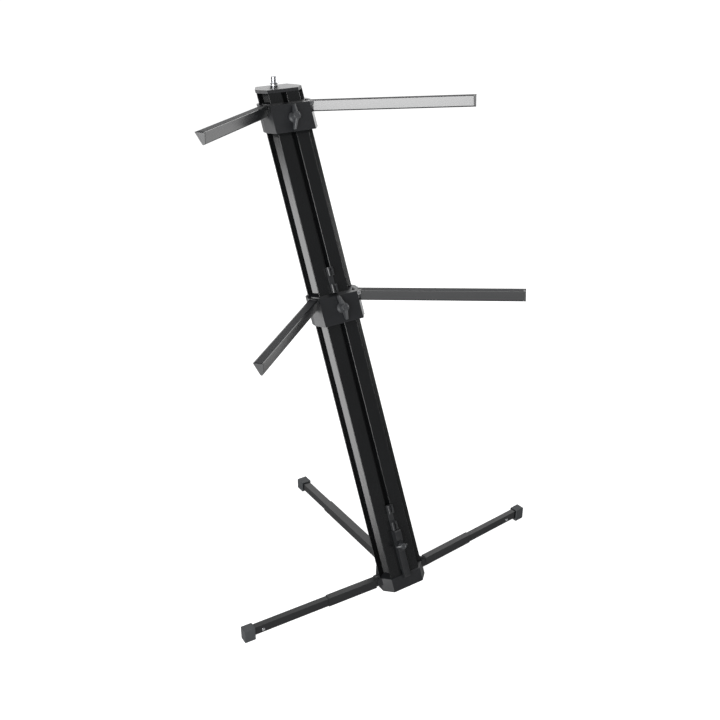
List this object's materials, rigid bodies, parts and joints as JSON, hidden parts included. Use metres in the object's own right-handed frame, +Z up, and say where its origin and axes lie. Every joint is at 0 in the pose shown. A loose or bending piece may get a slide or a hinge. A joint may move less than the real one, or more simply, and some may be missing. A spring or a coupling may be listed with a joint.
{
  "type": "column keyboard stand",
  "caption": "Leaning column keyboard stand with folding legs, sliding carriages, folding support arms, cable clips and a threaded top stud.",
  "frame": {"origin": "on the floor, at the middle of the base block's underside", "axes": "+Z up, +X to the right of the player's view of the front, +Y to the back, the way the column leans"},
  "size_m": [0.8943, 0.644, 1.1883],
  "materials": {
    "black_anodised": "satin black anodised",
    "grey_cast": "satin dark grey",
    "leg_paint": "satin dark grey",
    "black_plastic": "matte grey",
    "clip_plastic": "matte black",
    "pale_plastic": "matte pale grey",
    "dark_rubber": "matte",
    "bright_steel": "polished"
  },
  "bodies": {
    "stand": {"column": "black_anodised", "top_cap": "grey_cast", "mic_stud": "bright_steel", "base_block": "grey_cast", "left_leg_pin": "bright_steel", "right_leg_pin": "bright_steel", "rear_leg_pin": "bright_steel"},
    "upper_slider": {"upper_carriage": "grey_cast", "upper_clamp_nut": "bright_steel", "upper_left_arm_pin": "bright_steel", "upper_right_arm_pin": "bright_steel"},
    "lower_slider": {"lower_carriage": "grey_cast", "lower_clamp_nut": "bright_steel", "lower_left_arm_pin": "bright_steel", "lower_right_arm_pin": "bright_steel"},
    "upper_knob": {"upper_wing_knob": "black_plastic"},
    "lower_knob": {"lower_wing_knob": "black_plastic"},
    "lower_clip": {"lower_cable_clip": "clip_plastic"},
    "upper_clip": {"upper_cable_clip": "clip_plastic"},
    "lock": {"lock_bar": "grey_cast"},
    "lock_screw": {"lock_knob": "black_plastic"},
    "upper_left_arm": {"upper_left_arm_tube": "black_anodised", "upper_left_arm_root": "grey_cast", "upper_left_arm_strip": "dark_rubber", "upper_left_arm_cap": "pale_plastic"},
    "upper_right_arm": {"upper_right_arm_tube": "black_anodised", "upper_right_arm_root": "grey_cast", "upper_right_arm_strip": "dark_rubber", "upper_right_arm_cap": "pale_plastic"},
    "lower_left_arm": {"lower_left_arm_tube": "black_anodised", "lower_left_arm_root": "grey_cast", "lower_left_arm_strip": "dark_rubber", "lower_left_arm_cap": "pale_plastic"},
    "lower_right_arm": {"lower_right_arm_tube": "black_anodised", "lower_right_arm_root": "grey_cast", "lower_right_arm_strip": "dark_rubber", "lower_right_arm_cap": "pale_plastic"},
    "left_leg": {"left_leg_root": "grey_cast", "left_leg_outer": "leg_paint"},
    "left_leg_extension": {"left_leg_inner": "leg_paint", "left_leg_rivet": "bright_steel", "left_leg_foot": "dark_rubber"},
    "right_leg": {"right_leg_root": "grey_cast", "right_leg_outer": "leg_paint"},
    "right_leg_extension": {"right_leg_inner": "leg_paint", "right_leg_rivet": "bright_steel", "right_leg_foot": "dark_rubber"},
    "rear_leg": {"rear_leg_root": "grey_cast", "rear_leg_outer": "leg_paint"},
    "rear_leg_extension": {"rear_leg_inner": "leg_paint", "rear_leg_foot": "dark_rubber"}
  },
  "joints": [
    {"name": "upper_carriage_slide", "type": "slide", "parent": "stand", "child": "upper_slider", "axis": [0, 0.4457, 0.8952], "range_m": [-0.2, 0.019]},
    {"name": "lower_carriage_slide", "type": "slide", "parent": "stand", "child": "lower_slider", "axis": [0, 0.4457, 0.8952], "range_m": [-0.3, 0]},
    {"name": "upper_knob_turn", "type": "hinge", "parent": "upper_slider", "child": "upper_knob", "pos_m": [0, 0.49984, 1.1012], "axis": [0, -0.8952, 0.4457], "range_deg": [-360, 0]},
    {"name": "lower_knob_turn", "type": "hinge", "parent": "lower_slider", "child": "lower_knob", "pos_m": [0, 0.28276, 0.6652], "axis": [0, -0.8952, 0.4457], "range_deg": [-360, 0]},
    {"name": "upper_left_arm_fold", "type": "hinge", "parent": "upper_slider", "child": "upper_left_arm", "pos_m": [-0.06089, 0.51258, 1.12871], "axis": [-0.6636, 0.6696, -0.3334], "range_deg": [0, 103]},
    {"name": "upper_right_arm_fold", "type": "hinge", "parent": "upper_slider", "child": "upper_right_arm", "pos_m": [0.06089, 0.51258, 1.12871], "axis": [-0.6636, -0.6696, 0.3334], "range_deg": [0, 103]},
    {"name": "lower_left_arm_fold", "type": "hinge", "parent": "lower_slider", "child": "lower_left_arm", "pos_m": [-0.06089, 0.29401, 0.68971], "axis": [-0.6636, 0.6696, -0.3334], "range_deg": [0, 103]},
    {"name": "lower_right_arm_fold", "type": "hinge", "parent": "lower_slider", "child": "lower_right_arm", "pos_m": [0.06089, 0.29401, 0.68971], "axis": [-0.6636, -0.6696, 0.3334], "range_deg": [0, 103]},
    {"name": "left_leg_fold", "type": "hinge", "parent": "stand", "child": "left_leg", "pos_m": [-0.07137, 0.0092, 0.02876], "axis": [0.0391, 0.8945, -0.4454], "range_deg": [0, 87]},
    {"name": "left_leg_extend", "type": "slide", "parent": "left_leg", "child": "left_leg_extension", "axis": [-0.999, 0.0436, 0], "range_m": [-0.045, 0.03]},
    {"name": "right_leg_fold", "type": "hinge", "parent": "stand", "child": "right_leg", "pos_m": [0.07096, 0.01255, 0.02876], "axis": [0.0812, -0.8922, 0.4442], "range_deg": [0, 87]},
    {"name": "right_leg_extend", "type": "slide", "parent": "right_leg", "child": "right_leg_extension", "axis": [0.9959, 0.0906, 0], "range_m": [-0.045, 0.03]},
    {"name": "rear_leg_fold", "type": "hinge", "parent": "stand", "child": "rear_leg", "pos_m": [0, 0.02846, 0.01645], "axis": [1, 0, 0], "range_deg": [0, 59.5]},
    {"name": "rear_leg_extend", "type": "slide", "parent": "rear_leg", "child": "rear_leg_extension", "axis": [0, 1, 0], "range_m": [-0.11, 0.05]},
    {"name": "lower_clip_slide", "type": "slide", "parent": "stand", "child": "lower_clip", "axis": [0, 0.4457, 0.8952], "range_m": [0, 0.25]},
    {"name": "upper_clip_slide", "type": "slide", "parent": "stand", "child": "upper_clip", "axis": [0, 0.4457, 0.8952], "range_m": [0, 0.1]},
    {"name": "lock_bar_slide", "type": "slide", "parent": "stand", "child": "lock", "axis": [0, 0.4457, 0.8952], "range_m": [-0.012, 0]},
    {"name": "lock_knob_turn", "type": "hinge", "parent": "lock", "child": "lock_screw", "pos_m": [0, 0.00605, 0.10382], "axis": [0, -0.8952, 0.4457], "range_deg": [-360, 0]}
  ]
}
